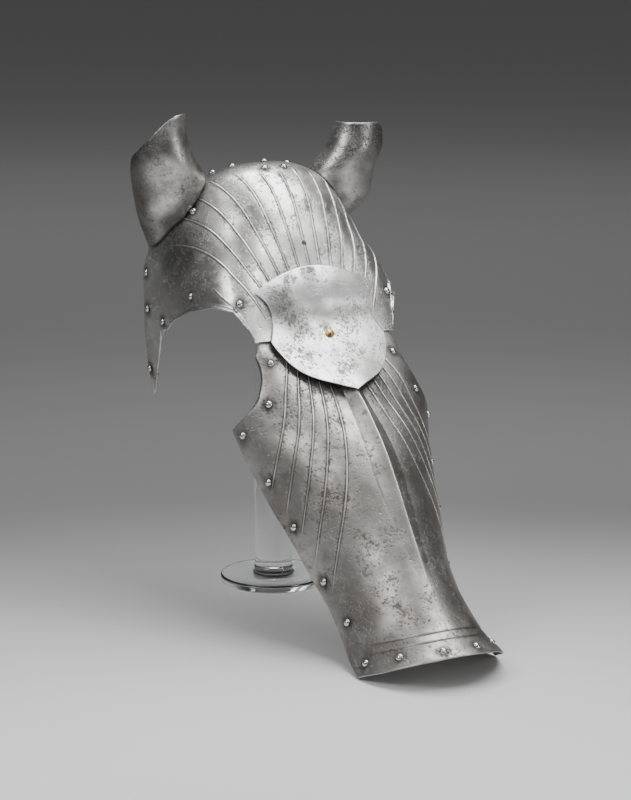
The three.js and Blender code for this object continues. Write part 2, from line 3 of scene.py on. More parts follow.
import bpy
import numpy as np
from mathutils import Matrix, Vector


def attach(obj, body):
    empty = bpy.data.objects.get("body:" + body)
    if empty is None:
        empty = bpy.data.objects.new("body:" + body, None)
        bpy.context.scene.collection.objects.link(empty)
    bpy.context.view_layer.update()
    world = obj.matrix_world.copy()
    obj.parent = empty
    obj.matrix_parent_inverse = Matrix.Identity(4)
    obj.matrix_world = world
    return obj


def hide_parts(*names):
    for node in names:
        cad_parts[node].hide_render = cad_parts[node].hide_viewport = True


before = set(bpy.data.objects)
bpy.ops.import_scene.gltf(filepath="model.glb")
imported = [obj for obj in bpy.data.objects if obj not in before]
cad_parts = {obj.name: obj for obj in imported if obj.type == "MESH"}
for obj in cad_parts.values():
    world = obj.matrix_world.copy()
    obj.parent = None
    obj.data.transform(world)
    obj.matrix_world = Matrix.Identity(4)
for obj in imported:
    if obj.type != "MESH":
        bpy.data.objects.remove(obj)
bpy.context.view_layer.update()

# A fluted horse head armour on a clear stand. The tables and curves are those of the solids, in
# millimetres; meshes are made finer from them and turned to metres when they are written.
#
# The face frame: s runs down the face from near the poll, TILT below level, and h stands square to it. A turn
# of 0 degrees is the middle line of the face and 90 degrees is the horse's left side.
MM = 0.001
TILT = math.radians(49.5)
FACE_TOP_Y = -1.3
FACE_TOP_Z = 497.6
PLATE = 1.8        # thickness of the two plates
TIN = 1.6          # thickness of the ear guards and the shield
AIR = 0.4          # gap under a rivet's head
JOWL = 360         # depth of the flanks below the widest line
SEAM = 224         # s of the upper plate's lower edge
LAP = 212          # s of the lower plate's top edge, which lies under the upper plate
LAP_GAP = 2.2      # how far the lower plate lies below the upper one there, from skin to skin

# Columns: s down the face, crown, half width, depth, squareness.
CROWN, HALF, DEPTH, SQUARE = 1, 2, 3, 4
SECTIONS = np.array([
    (-50, -112, 80, 70, 2.1),
    (-30, -66, 94, 100, 2.1),
    (-12, -28, 104, 125, 2.1),
    (0, -13, 109, 140, 2.2),
    (25, 3, 113, 152, 2.2),
    (60, 11, 115, 155, 2.3),
    (100, 6, 117, 140, 2.7),
    (140, -2, 116, 115, 4.0),
    (182, -10, 109, 87, 5.8),
    (226, -18, 106, 71, 6.8),
    (255, -17, 105, 76, 4.8),
    (300, -6, 127, 100, 2.4),
    (370, 10, 109, 123, 2.0),
    (430, 13, 96, 121, 1.85),
    (495, 12, 82, 117, 1.75),
    (550, 14, 78, 110, 1.8),
    (590, 19, 82, 103, 1.85),
    (620, 28.5, 85, 95, 1.9),
    (660, 42, 88, 95, 1.9),
])

# Columns: s, rise of the keel, its half width.
KEEL = np.array([(262, 0, 8), (310, 10, 11), (370, 9, 15), (430, 7, 16), (490, 4, 11), (545, 0, 6)])

# Columns: s and turn at the start, s and turn at the end, bend.
UPPER_GUIDES = np.array([
    (SEAM, 0, -12, 0, 1),
    (SEAM, 6.7, -12, 10, 5),
    (SEAM, 13.5, -14, 22, 5),
    (SEAM, 20.3, -20, 38, 5),
    (SEAM, 27.2, -26, 60, 5),
    (SEAM, 33.8, -8, 77, 5),
    (SEAM, 40.5, 26, 88, 5),
    (SEAM, 51.3, 31, 97, 3.5),
    (202, 51.2, 42, 104, 3),
    (182, 51.6, 57, 110, 2.4),
    (160, 58, 74, 117, 1.8),
    (140, 70.5, 92, 124, 1.4),
    (126, 90, 110, 131, 1.2),
    (121, 113, 126, 137, 1),
    (145, 139, 150, 145, 1),
])

# The same columns for the lower plate.
LOWER_GUIDES = np.array([
    (LAP, 0, 638, 0, 1),
    (LAP, 2.2, 637.5, 9, 3.6),
    (LAP, 4.4, 636, 20, 3.6),
    (LAP, 6.6, 632, 35, 3.6),
    (LAP, 8, 625, 54, 3.6),
    (LAP, 9.5, 614, 74, 3.6),
    (LAP, 12, 526, 70, 3.8),
    (LAP, 18.5, 488, 71.5, 3.6),
    (LAP, 24.7, 456, 72, 3.6),
    (LAP, 31.2, 424, 72.5, 3.6),
    (LAP, 37.6, 392, 73, 3.6),
])

# The lower plate's edge in front of the eye. Columns: t, s, turn.
EYE_FRONT = np.array([
    (0, LAP, 48), (0.2, 236, 51.4), (0.4, 258, 50.8), (0.6, 280, 51.3), (0.8, 297, 56), (1, 306, 72.5),
])

# The upper plate's flange over the eye. Columns: guide line, width.
EYE_FLANGE = np.array([(6.5, 2), (7, 1.5), (8, 2), (9, 4.5), (10, 8), (11, 8), (12, 6), (14, 5)])


# ---------------------------------------------------------------- curves
def look_up(table, column, where):
    """A smooth value from a table, by cubic pieces through its rows."""
    keys = table[:, 0]
    values = table[:, column]
    last = len(keys) - 1
    before = np.maximum(np.arange(last + 1) - 1, 0)
    after = np.minimum(np.arange(last + 1) + 1, last)
    slope = (values[after] - values[before]) / (keys[after] - keys[before])
    where = np.asarray(where, float)
    i = np.searchsorted(keys[1:-1], where, side="left")
    span = keys[i + 1] - keys[i]
    u = np.clip((where - keys[i]) / span, 0, 1)
    rest = (2 * u**3 - 3 * u**2 + 1) * values[i] + (3 * u**2 - 2 * u**3) * values[i + 1]
    return rest + (u**3 - 2 * u**2 + u) * span * slope[i] + (u**3 - u**2) * span * slope[i + 1]


def ease(x, low, high):
    u = np.clip((x - low) / (high - low), 0, 1)
    return u * u * (3 - 2 * u)


def mix(a, b, t):
    return a + (b - a) * t


def unit(vectors):
    return vectors / np.maximum(np.linalg.norm(vectors, axis=-1, keepdims=True), 1e-9)


def place(x, s, h):
    """A point of the face frame, in the stand's frame."""
    y = FACE_TOP_Y - s * math.cos(TILT) - h * math.sin(TILT)
    z = FACE_TOP_Z - s * math.sin(TILT) + h * math.cos(TILT)
    return np.stack(np.broadcast_arrays(x, y, z), axis=-1).astype(float)


def reach(s, turn):
    """Distance of the face from its long line, at a turn about that line."""
    q = np.radians(np.abs(turn))
    below = q > math.pi / 2
    half = look_up(SECTIONS, HALF, s)
    depth = np.where(below, JOWL, look_up(SECTIONS, DEPTH, s))
    power = np.where(below, 2.0, look_up(SECTIONS, SQUARE, s))
    return ((np.sin(q) / half)**power + (np.abs(np.cos(q)) / depth)**power)**(-1 / power)


def long_line(s):
    """The h of the line down the inside of the head that turns are measured about."""
    return look_up(SECTIONS, CROWN, s) - look_up(SECTIONS, DEPTH, s)


def base_point(s, turn, lift=0.0):
    """A point of the face's smooth form, raised from the long line by lift."""
    s = np.asarray(s, float)
    q = np.radians(turn)
    r = reach(s, turn) + lift
    return place(r * np.sin(q), s, long_line(s) + r * np.cos(q))


def outward(s, turn):
    """Unit normals of the face's smooth form."""
    along = base_point(s - 0.5, turn) - base_point(s + 0.5, turn)
    across = base_point(s, turn + 0.5) - base_point(s, turn - 0.5)
    return unit(np.cross(across, along))


def keel_height(s, x):
    inside = (s > KEEL[0, 0]) & (s < KEEL[-1, 0])
    slope = 1 - np.abs(x) / look_up(KEEL, 2, s)
    return np.where(inside, look_up(KEEL, 1, s) * np.maximum(0, slope), 0)


def recess(s):
    """Depth of the lower plate below the face's line, where it runs up under the upper plate."""
    return (PLATE + LAP_GAP) * (1 - ease(s, SEAM + 4, SEAM + 34))


# ---------------------------------------------------------------- uneven hand work
WAVE_COUNT = 18
SHORTEST_WAVE = 22
LONGEST_WAVE = 85
WAVE_SUM = 4.2     # usual height of the waves' sum
rng = np.random.default_rng(11)
WAVES = unit(rng.normal(size=(WAVE_COUNT, 3)))
WAVES = WAVES * (2 * math.pi / rng.uniform(SHORTEST_WAVE, LONGEST_WAVE, size=(WAVE_COUNT, 1)))
PHASES = rng.uniform(0, 2 * math.pi, WAVE_COUNT)


def dents(points, size):
    """Slow unevenness of hammered sheet, in millimetres either way."""
    return np.sin(points @ WAVES.T + PHASES).sum(axis=-1) * (size / WAVE_SUM)


# ---------------------------------------------------------------- meshes
def new_object(name, points, faces, marks=None):
    """A smooth mesh object in metres, with its marks kept as values on its points."""
    mesh = bpy.data.meshes.new(name)
    mesh.from_pydata((np.asarray(points, float) * MM).tolist(), [], [list(map(int, f)) for f in faces])
    mesh.update()
    mesh.shade_smooth()
    for key, values in (marks or {}).items():
        layer = mesh.attributes.new(key, "FLOAT", "POINT")
        layer.data.foreach_set("value", np.asarray(values, np.float32).ravel())
    piece = bpy.data.objects.new(name, mesh)
    bpy.context.scene.collection.objects.link(piece)
    return piece


def finish_piece(piece, node, material):
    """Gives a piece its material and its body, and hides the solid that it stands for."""
    piece.data.materials.clear()
    piece.data.materials.append(material)
    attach(piece, "root")
    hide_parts(node)


def grid_normals(grid, flip):
    """Unit normals of a grid of points, turned over by flip."""
    normal = unit(np.cross(np.gradient(grid, axis=1), np.gradient(grid, axis=0)))
    return -normal if flip else normal


def border(rows, cols):
    """The grid's border places in order, and the place next inside each."""
    top = [(0, j) for j in range(cols)]
    right = [(i, cols - 1) for i in range(1, rows)]
    bottom = [(rows - 1, j) for j in range(cols - 2, -1, -1)]
    left = [(i, 0) for i in range(rows - 2, 0, -1)]
    edge = top + right + bottom + left
    inside = [(min(max(i, 1), rows - 2), min(max(j, 1), cols - 2)) for i, j in edge]
    return edge, inside


RIM_ANGLES = (60, 30, 0, -30, -60)
RIM_ROUND = 0.36   # a rim's rounding, as a share of the thickness
RIM_ROOM = 0.6     # the most of the last column that the rounding may take


def shell(name, grid, thick, flip, marks):
    """A closed plate below a grid of points, with a rounded rim."""
    rows, cols = grid.shape[:2]
    normal = grid_normals(grid, flip)
    edge, inside = border(rows, cols)
    at = tuple(np.array(edge).T)
    within = tuple(np.array(inside).T)
    step = grid[at] - grid[within]
    room = np.linalg.norm(step, axis=-1, keepdims=True)
    away = unit(step - (step * normal[at]).sum(-1, keepdims=True) * normal[at])
    round_off = np.minimum(thick * RIM_ROUND, room * RIM_ROOM)
    outer = grid.copy()
    outer[at] = grid[at] - away * round_off
    inner = outer - normal * thick
    middle = outer[at] - normal[at] * thick / 2
    rings = [middle + away * round_off * math.cos(math.radians(a))
             + normal[at] * thick / 2 * math.sin(math.radians(a)) for a in RIM_ANGLES]
    count = rows * cols
    number = np.arange(count).reshape(rows, cols)
    a, b, c, d = number[:-1, :-1], number[:-1, 1:], number[1:, 1:], number[1:, :-1]
    top = np.stack([a, b, c, d], -1).reshape(-1, 4)
    faces = [top, top[:, ::-1] + count]
    chain = [number[at]] + [2 * count + k * len(edge) + np.arange(len(edge)) for k in range(len(rings))]
    chain.append(number[at] + count)
    for upper, lower in zip(chain[:-1], chain[1:]):
        faces.append(np.stack([upper, lower, np.roll(lower, -1), np.roll(upper, -1)], -1))
    faces = np.concatenate(faces)
    if flip:
        faces = faces[:, ::-1]
    points = np.concatenate([outer.reshape(-1, 3), inner.reshape(-1, 3)] + rings)
    values = {key: np.concatenate([m.ravel(), m.ravel()] + [m[at]] * len(rings)) for key, m in marks.items()}
    return new_object(name, points, faces, values)


def loft(rings, capped, flip):
    """Quads between closed rings of points, joined end to end or capped."""
    count = len(rings)
    sides = len(rings[0])
    faces = []
    for i in range(count - 1 if capped else count):
        for j in range(sides):
            nxt = (i + 1) % count
            k = (j + 1) % sides
            faces.append((i * sides + j, i * sides + k, nxt * sides + k, nxt * sides + j))
    if capped:
        faces.append(tuple(range(sides))[::-1])
        faces.append(tuple(range((count - 1) * sides, count * sides)))
    if flip:
        faces = [f[::-1] for f in faces]
    return np.concatenate(rings), faces


def lathe(profile, sides):
    """Points and faces turned about Z from (radius, height) pairs that start and end on the axis."""
    angles = np.linspace(0, 2 * math.pi, sides, endpoint=False)
    points = [(0, 0, profile[0][1])]
    for radius, height in profile[1:-1]:
        points += [(radius * math.cos(a), radius * math.sin(a), height) for a in angles]
    points.append((0, 0, profile[-1][1]))
    faces = []
    for j in range(sides):
        k = (j + 1) % sides
        faces.append((0, 1 + k, 1 + j))
        for i in range(len(profile) - 3):
            a = 1 + i * sides
            faces.append((a + j, a + k, a + sides + k, a + sides + j))
        a = 1 + (len(profile) - 3) * sides
        faces.append((a + j, a + k, len(points) - 1))
    return np.array(points), faces


def arc(centre, radius, start, end, steps):
    """(radius, height) points on an arc, angles in degrees."""
    angles = np.radians(np.linspace(start, end, steps))
    return [(centre[0] + radius * math.cos(a), centre[1] + radius * math.sin(a)) for a in angles]


def cut(piece, cutters):
    """Cuts the cutters out of the piece and removes them."""
    for cutter in cutters:
        change = piece.modifiers.new("hole", "BOOLEAN")
        change.operation = "DIFFERENCE"
        change.solver = "MANIFOLD"
        change.object = cutter
    graph = bpy.context.evaluated_depsgraph_get()
    old = piece.data
    piece.data = bpy.data.meshes.new_from_object(piece.evaluated_get(graph))
    piece.modifiers.clear()
    bpy.data.meshes.remove(old)
    piece.data.shade_smooth()
    piece.data.set_sharp_from_angle(angle=math.radians(60))
    for cutter in cutters:
        mesh = cutter.data
        bpy.data.objects.remove(cutter)
        bpy.data.meshes.remove(mesh)


# ---------------------------------------------------------------- rivets
# Columns: name, s, turn, lift where an edge is turned out.
RIVETS = [
    ("poll_mid", -8, 0, 0),
    ("poll_1", 12, 4.6, 0),
    ("poll_2", -12, 16.3, 0),
    ("poll_3", -14.5, 27, 0),
    ("ear", 35, 43.3, 0),
    ("rear_1", 43, 98, 1.5),
    ("rear_2", 77, 112, 1.2),
    ("rear_3", 128, 136, 1.5),
    ("arch_1", 112, 104, 0),
    ("arch_2", 130, 67.7, 0),
    ("arch_3", 178, 48, 0),
    ("waist", 252, 46.5, 0),
    ("cheek", 298, 49, 0),
    ("cusp", 315, 67.6, 0),
    ("edge_1", 372, 64.6, 0.5),
    ("edge_2", 428, 64.1, 0.5),
    ("edge_3", 495, 62, 0.8),
    ("edge_4", 549, 58.5, 0.8),
    ("lip_1", 603, 61, 0),
    ("lip_2", 616, 38, 0),
    ("lip_3", 627, 12, 1),
]
RIVET_RADIUS = 4.2
RIVET_HEIGHT = 3.0


def rivet_places():
    """Node name, point and direction of every rivet."""
    places = []
    for name, s, turn, lift in RIVETS:
        deep = float(recess(s)) if s > SEAM else 0
        for hand in ((1,) if turn == 0 else (-1, 1)):
            side = "right" if hand < 0 else "left"
            node = f"rivet_{name}" if turn == 0 else f"rivet_{name}_{side}"
            point = base_point(s, hand * turn, AIR + lift - deep)
            places.append((node, point, outward(s, hand * turn)))
    return places


RIVET_PLACES = rivet_places()


def halo(points, radius):
    """1 beside a rivet, falling to 0 at radius."""
    near = np.full(points.shape[:-1], 1e9)
    for _, middle, _ in RIVET_PLACES:
        near = np.minimum(near, np.linalg.norm(points - middle, axis=-1))
    return 1 - ease(near, RIVET_RADIUS * 1.1, radius)


def shade_spots(points, rows):
    """Darkening at listed places, most of it painted shade: x, y, z of the middle, radius and strength."""
    total = np.zeros(points.shape[:-1])
    for x, y, z, radius, strength in rows:
        far = np.linalg.norm(points - np.array((x, y, z)), axis=-1)
        total = np.maximum(total, strength * (1 - ease(far, radius * 0.35, radius)))
    return total


# ---------------------------------------------------------------- fluted plates
FLUTE_HEIGHT = 1.0
FLUTE_HALF = 1.2                                   # half width of a flute
FLUTE_STEPS = (0, 0.4, 0.8, 1.1, 1.4, 1.9, 2.7)    # distances of the fine columns from its crest
ASIDE = 0.3        # how far towards the next guide a distance across the guides is measured
NO_FLUTE = 99.0    # distance given to columns that belong to no flute


def guide_net(guides, t):
    """Place (s, turn) of every guide line at every t: rows are t, columns the guides."""
    s = mix(guides[:, 0], guides[:, 2], t[:, None])
    turn = guides[:, 1] + (guides[:, 3] - guides[:, 1]) * t[:, None]**guides[:, 4]
    return np.stack([s, turn], -1)


def between(net, number):
    """Places at line numbers: 2.5 is midway between guides 2 and 3. One row for each t."""
    i = np.clip(np.floor(number).astype(int), 0, net.shape[1] - 2)
    rows = np.arange(len(number))[:, None]
    f = (number - i)[..., None]
    return net[rows, i] * (1 - f) + net[rows, i + 1] * f


def beside(net, k, distance):
    """Line numbers at a distance in millimetres from guide k, for each t."""
    if distance == 0:
        return np.full(len(net), float(k))
    sign = 1 if distance > 0 else -1
    here = base_point(net[:, k, 0], net[:, k, 1])
    along = unit(np.gradient(here, axis=0))
    spot = between(net, np.full((len(net), 1), k + ASIDE * sign))[:, 0]
    aside = np.linalg.norm(np.cross(base_point(spot[:, 0], spot[:, 1]) - here, along), axis=-1)
    return k + ASIDE * distance / aside


def fan(net, flutes, fills):
    """Fine columns of one side: their line numbers and distances from the flute that they belong to."""
    numbers = []
    offsets = []
    last = net.shape[1] - 1
    for k in range(last + 1):
        steps = [0.0]
        if k in flutes:
            steps = [-w for w in FLUTE_STEPS[:0:-1]] if k > 0 else []
            steps += list(FLUTE_STEPS)
        block = [beside(net, k, w) for w in steps]
        if numbers:
            for f in np.arange(1, fills[k - 1] + 1) / (fills[k - 1] + 1):
                numbers.append(mix(start, block[0], f))
                offsets.append(NO_FLUTE)
        numbers += block
        offsets += [abs(w) if k in flutes else NO_FLUTE for w in steps]
        start = block[-1]
    return np.stack(numbers, -1), np.array(offsets)


def flute_lift(offset):
    """Height of a flute's rounded ridge, with a fine groove at each foot."""
    ridge = np.maximum(0, 1 - (offset / FLUTE_HALF)**2)**0.8
    groove = 0.14 * np.exp(-((offset - FLUTE_HALF - 0.2) / 0.4)**2)
    return FLUTE_HEIGHT * (ridge - groove)


def foot_line(offset):
    """1 in the fine groove at a flute's foot, falling to 0 beside it; it lays painted shade in the groove."""
    return np.exp(-((offset - FLUTE_HALF - 0.25) / 0.5)**2)


def near_line(offset):
    """1 just outside a flute's foot, falling slowly away from it."""
    return np.exp(-((np.minimum(offset, 7) - 1.9) / 1.7)**2)


def crest_highlight(offset):
    """1 on a flute's crest, falling to 0 beside it: a painted highlight along the crest."""
    return np.exp(-(offset / 0.7)**2)


def both(half, mirror=False):
    """A whole grid from its left-hand half; mirror turns x round for points."""
    other = half[:, :0:-1].copy()
    if mirror:
        other[..., 0] *= -1
    return np.concatenate([other, half], axis=1)


# Columns between each guide and the next.
UPPER_FILLS = [4, 4, 4, 4, 4, 4, 6, 5, 5, 5, 5, 5, 5, 5]
LOWER_FILLS = [7, 6, 6, 6, 6, 9, 2, 2, 2, 2, 5]

# Darker places of each plate, most of them painted shade: on the far flanks, along the poll and down the
# middle of the lower plate. Columns: x, y, z of the middle, radius, strength.
UPPER_SHADE_SPOTS = [
    (-108, 20, 395, 60, 0.75),
    (-112, -30, 340, 45, 0.5),
    (112, -20, 380, 80, 0.8),
    (-60, 70, 470, 30, 0.6),
    (0, 55, 490, 34, 0.5),
    (96, -120, 300, 45, 0.8),
]
LOWER_SHADE_SPOTS = [
    (50, -330, 150, 55, 0.6),
    (45, -410, 40, 40, 0.6),
    (-50, -385, 40, 30, 0.5),
    (20, -200, 270, 45, 0.6),
]
PLATE_DENTS = 0.3
SOIL = 0.95        # darkness of the soil round a rivet
REAR_FLARE = 1.5   # how far the upper plate's rear margin is turned out


def over_eye(half, s, turn, number):
    """Rows of the flange that is turned out over the eye, outermost first, and where the arch is."""
    arch = ease(number[0], 6.9, 8)[:, None]
    width = look_up(EYE_FLANGE, 1, np.clip(number[0], 6.5, 14))[:, None]
    out = outward(s[0], turn[0])
    onward = unit(np.cross(out, np.gradient(half[0], axis=0)))
    onward *= np.sign((onward * (half[0] - half[2])).sum(-1, keepdims=True))
    lean = onward * mix(1, 0.75, arch) + out * 0.66 * arch
    bend = half[0] + onward * width * 0.22
    far = half[0] + lean * width
    rows = [(1 - u)**2 * half[0] + 2 * u * (1 - u) * bend + u * u * far for u in (1, 0.8, 0.6, 0.4, 0.2)]
    return rows, arch.T


def upper_plate(material):
    t = np.concatenate([np.linspace(0, 0.04, 3), np.linspace(0.052, 1, 92)])
    net = guide_net(UPPER_GUIDES, t)
    number, offset = fan(net, range(7), UPPER_FILLS)
    spot = between(net, number)
    s, turn = spot[..., 0], spot[..., 1]
    fade = (ease(t, 0.1, 0.22) * (1 - ease(t, 0.78, 0.93)))[:, None]
    flare = REAR_FLARE * ease(t, 0.9, 1)[:, None] * ease(turn, 80, 95)
    half = base_point(s, turn, flute_lift(offset) * fade + flare)
    flange, arch = over_eye(half, s, turn, number)
    half = np.concatenate([flange, half])
    rows = len(flange)
    zero = np.zeros((rows, half.shape[1]))
    foot = np.concatenate([zero, foot_line(offset) * fade])
    near = np.concatenate([zero, near_line(offset) * fade])
    crest = np.concatenate([zero, crest_highlight(offset) * fade])
    # painted highlight along the fold over the eye and along the flange's outer edge away from it
    fold_and_edge_highlight = np.zeros_like(foot)
    fold_and_edge_highlight[rows - 1:rows + 1] = arch
    fold_and_edge_highlight[:3] = np.maximum(fold_and_edge_highlight[:3], 1 - arch)
    # painted shade: the plate is darkened along the poll edge, where it turns up and back towards the unlit
    # room
    poll = np.concatenate([zero, ease(t, 0.86, 0.97)[:, None] * (1 - ease(turn, 70, 95))])
    grid = both(half, mirror=True)
    grid = grid + grid_normals(grid, False) * dents(grid, PLATE_DENTS)[..., None]
    soil_and_shade = np.maximum(both(poll) * 0.9, halo(grid, 13) * SOIL)
    soil_and_shade = np.maximum(soil_and_shade, shade_spots(grid, UPPER_SHADE_SPOTS))
    marks = {"foot": both(foot), "near": both(near), "soil_and_shade": soil_and_shade,
             "highlight": np.maximum(both(crest), both(fold_and_edge_highlight))}
    piece = shell("armour.upper", grid, PLATE, False, marks)
    cut(piece, [ear_hole(-1), ear_hole(1), lace_cutter()])
    finish_piece(piece, "upper_plate", material)


# Two stepped lines over the lip, each by its t; the step is a fine ledge that runs out below it.
LIP_LINES = (0.9185, 0.943)
LIP_STEP = 0.5
LIP_FLARE = 2.5    # how far the lip is turned out


def lip_side(number):
    """1 over the width of the stepped lines, 0 on the flanks."""
    return 1 - ease(number, 4.2, 5)


def lip_step(t, number):
    step = np.zeros_like(t)
    for at in LIP_LINES:
        below = np.clip((t - at) / 0.02, 0, 1)
        step += np.where(t >= at, LIP_STEP * (1 - below), 0)
    return -step * lip_side(number)


def lip_ledge(t, number):
    ledge = np.zeros_like(number)
    for at in LIP_LINES:
        line = np.exp(-((t - at - 0.001) / 0.0022)**2)[:, None] * lip_side(number)
        ledge = np.maximum(ledge, line)
    return ledge


def lower_rows():
    """The t of every row, with five rows close together at each stepped line."""
    rows = list(np.linspace(0, 0.9, 84))
    for at in LIP_LINES:
        rows += [at - 0.006, at - 0.0012, at, at + 0.004, at + 0.011]
    rows += list(np.linspace(0.962, 1, 12))
    return np.array(sorted(rows))


def before_eye(half, eye, t):
    """Columns of the flange that is turned out in front of the eye and along the cheek."""
    onward = unit(half[:, -1] - half[:, -2])
    full = (ease(t, 0.1, 0.3) * (1 - ease(t, 0.7, 1)))[:, None]
    width = mix(np.where(t < 0.5, 0.8, 2.5)[:, None], 7, full)
    lean = onward - outward(eye[:, 0], eye[:, 1]) * 0.5 * full
    return np.stack([half[:, -1] + mix(onward, lean, u) * width * u for u in (0.25, 0.5, 0.75, 1)], 1)


def lower_plate(material):
    t = lower_rows()
    net = guide_net(LOWER_GUIDES, t)
    eye = np.stack([look_up(EYE_FRONT, 1, t), look_up(EYE_FRONT, 2, t)], -1)
    net = np.concatenate([net, eye[:, None]], axis=1)
    number, offset = fan(net, range(6, 11), LOWER_FILLS)
    spot = between(net, number)
    s, turn = spot[..., 0], spot[..., 1]
    x = reach(s, turn) * np.sin(np.radians(turn))
    fade = (ease(t, 0.15, 0.3) * (1 - ease(t, 0.86, 0.96)))[:, None]
    lip = LIP_FLARE * ease(t, 0.955, 1)[:, None] * (1 - ease(number, 5, 5.6))
    lift = flute_lift(offset) * fade + keel_height(s, x) + lip - recess(s) + lip_step(t[:, None], number)
    half = base_point(s, turn, lift)
    flange = before_eye(half, eye, t)
    half = np.concatenate([half, flange], axis=1)
    pad = np.zeros(flange.shape[:2])
    # painted shade in the flute grooves and under the lip's stepped lines
    foot = np.maximum(foot_line(offset) * fade, lip_ledge(t, number) * 0.7)
    # painted highlight along the keel's crest
    ridge = np.exp(-(x / 1.2)**2) * (ease(s, 285, 310) * (1 - ease(s, 500, 545)))
    highlight = np.maximum(crest_highlight(offset) * fade, ridge)
    grid = both(half, mirror=True)
    grid = grid + grid_normals(grid, True) * dents(grid, PLATE_DENTS)[..., None]
    marks = {"foot": both(np.concatenate([foot, pad], 1)),
             "near": both(np.concatenate([near_line(offset) * fade, pad], 1)),
             "soil_and_shade": np.maximum(halo(grid, 12) * SOIL, shade_spots(grid, LOWER_SHADE_SPOTS)),
             "highlight": both(np.concatenate([highlight, pad], 1))}
    piece = shell("armour.lower", grid, PLATE, True, marks)
    finish_piece(piece, "lower_plate", material)


# ---------------------------------------------------------------- ear guards
# Columns: z, middle x and y, long and short half axes.
EAR_OVALS = np.array([
    (380, 78, 93, 29, 31),
    (410, 97, 79.5, 27, 35),
    (440, 106.5, 52.5, 36, 40.5),
    (474, 111, 40.5, 42, 36),
    (500, 121.5, 30.5, 36, 31.5),
    (530, 125.5, 25.5, 29, 26),
    (560, 129, 19, 28, 25),
])
EAR_SPREAD = math.radians(27)
EAR_SIDES = 120
EAR_LEVELS = 34
EAR_DENTS = 0.35
EAR_TOPS = {-1: 552, 1: 530}       # height that the mouth levels off at, for each hand
EAR_GAP = 0.7                      # gap between an ear guard's foot and the plate
HOLE_MARGIN = 4                    # how far an ear hole lies inside the guard's inner wall
HOLE_LEVELS = (372, 386, 400, 415, 430, 460, 500)

# Ragged wear of the mouth's outer side. Columns: waves round the mouth, size, phase.
EAR_WEAR = [(13, 0.8, 0.4), (29, 0.7, 1.9), (47, 0.4, 0.7)]
LESS_WORN = 0.45                   # the left mouth's share of that wear

# The solids' ovals have flat sides, so the smooth ones are drawn in a little at the side and the back.
DRAWN_SIDE = 0.6
DRAWN_BACK = 1.6


def ear_point(hand, angle, z, inset):
    across = (look_up(EAR_OVALS, 3, z) - inset) * np.cos(angle)
    deep = (look_up(EAR_OVALS, 4, z) - inset) * np.sin(angle)
    x = look_up(EAR_OVALS, 1, z) + across * math.cos(EAR_SPREAD) + deep * math.sin(EAR_SPREAD)
    y = look_up(EAR_OVALS, 2, z) + across * math.sin(EAR_SPREAD) - deep * math.cos(EAR_SPREAD)
    return np.stack(np.broadcast_arrays(hand * x, y, z), -1)


def height_over(points):
    """Height of points over the face's smooth form."""
    y = points[..., 1] - FACE_TOP_Y
    z = points[..., 2] - FACE_TOP_Z
    s = -y * math.cos(TILT) - z * math.sin(TILT)
    h = -y * math.sin(TILT) + z * math.cos(TILT) - long_line(s)
    turn = np.degrees(np.arctan2(np.abs(points[..., 0]), h))
    return np.hypot(points[..., 0], h) - reach(s, turn)


def ear_foot(hand, angle, inset):
    """The z at which the guard's wall stands over the plate, at each angle, by halving."""
    low = np.full(len(angle), 380.0)
    high = np.full(len(angle), 524.0)
    for _ in range(30):
        z = (low + high) / 2
        above = height_over(ear_point(hand, angle, z, inset)) > EAR_GAP
        high = np.where(above, z, high)
        low = np.where(above, low, z)
    return high


def outer_side(angle):
    """1 on the outer side of an ear guard, 0 on the inner side."""
    return 0.5 + 0.5 * np.cos(angle - 0.4)


def ear_rim(hand, angle):
    """The z of the mouth, cut on a slant and levelled off at its top."""
    slant = 524 - 26 * np.cos(angle) + 12 * np.sin(angle)
    top = EAR_TOPS[hand]
    rim = top - np.log1p(np.exp((top - slant) / 3)) * 3
    worn = np.zeros(len(angle))
    for count, size, phase in EAR_WEAR:
        worn += size * np.abs(np.sin(count * angle / 2 + phase))
    return rim - 0.4 - worn * outer_side(angle)**2 * (1 if hand < 0 else LESS_WORN)


def ear_marks(angle, shape):
    """Darker places and a painted highlight of an ear guard, over its rings of points: a darker top, painted
    shade at its foot, inside and down its outer side, and the highlight along the rim.
    """
    level = np.concatenate([np.linspace(0, 1, EAR_LEVELS + 1), np.ones(3), np.linspace(1, 0, EAR_LEVELS + 1)])
    top = ease(level, 0.55, 1)[:, None] * outer_side(angle)[None, :]**1.5
    # painted shadow where the guard's foot stands over the plate
    base = (1 - ease(level, 0, 0.05))[:, None] * np.ones(EAR_SIDES)
    # painted shade over the inner wall
    inside = np.zeros(shape)
    inside[EAR_LEVELS + 4:] = 0.55
    # painted highlight along the mouth's rim
    rim = np.exp(-((level - 1) / 0.012)**2)[:, None] * np.ones(EAR_SIDES)
    # painted shade down the outer side
    far = ease(np.cos(angle - 0.25), 0.45, 0.95)[None, :] * np.ones(shape) * 0.6
    soil_and_shade = np.maximum.reduce([top * 0.9, base, inside, far])
    return {"highlight": (rim * (1 - top)).ravel(), "soil_and_shade": soil_and_shade.ravel()}


